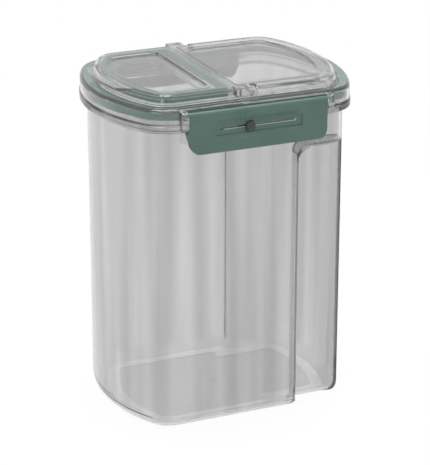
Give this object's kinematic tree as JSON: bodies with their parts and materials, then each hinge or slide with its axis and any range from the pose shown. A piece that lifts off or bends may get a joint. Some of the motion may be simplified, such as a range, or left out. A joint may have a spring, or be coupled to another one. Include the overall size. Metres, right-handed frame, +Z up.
{
  "type": "flip spout food storage container",
  "caption": "Tall clear container with bulged ends and side grips, closed by a latched lid whose hinged half flips up to pour; both openings are sealed.",
  "frame": {"origin": "centre of the footprint, on the surface that the container stands on", "axes": "+X along the container towards the end with the grip recesses, -Y towards the long side with the date slider, +Z up"},
  "size_m": [0.1912, 0.1628, 0.2504],
  "materials": {
    "clear_container": "clear grey-tinted moulded plastic, glossy",
    "clear_lid": "clear grey-tinted moulded plastic, glossy",
    "clear_door": "clear grey-tinted moulded plastic, glossy",
    "seal_rubber": "grey-green silicone rubber, satin",
    "latch_plastic": "grey-green moulded plastic, fine matt",
    "knob_plastic": "dark grey moulded plastic, matt"
  },
  "bodies": {
    "container": {"container_body": "clear_container"},
    "lid": {"lid_frame": "clear_lid", "lid_seal": "seal_rubber"},
    "door": {"flip_door": "clear_door", "spout_seal": "seal_rubber"},
    "latch_front": {"front_latch": "latch_plastic"},
    "latch_rear": {"rear_latch": "latch_plastic"},
    "date_slider": {"date_knob": "knob_plastic", "date_keeper": "knob_plastic"}
  },
  "joints": [
    {"name": "lid_lift", "type": "slide", "parent": "container", "child": "lid", "axis": [0, 0, 1], "range_m": [0, 0.15]},
    {"name": "door_flip", "type": "hinge", "parent": "lid", "child": "door", "pos_m": [0, 0, 0.247], "axis": [0, 1, 0], "range_deg": [0, 110]},
    {"name": "front_latch_swing", "type": "hinge", "parent": "lid", "child": "latch_front", "pos_m": [0, -0.0762, 0.2385], "axis": [-1, 0, 0], "range_deg": [0, 150]},
    {"name": "rear_latch_swing", "type": "hinge", "parent": "lid", "child": "latch_rear", "pos_m": [0, 0.0762, 0.2385], "axis": [1, 0, 0], "range_deg": [0, 150]},
    {"name": "date_slide", "type": "slide", "parent": "latch_front", "child": "date_slider", "axis": [1, 0, 0], "range_m": [-0.02, 0.033]}
  ]
}
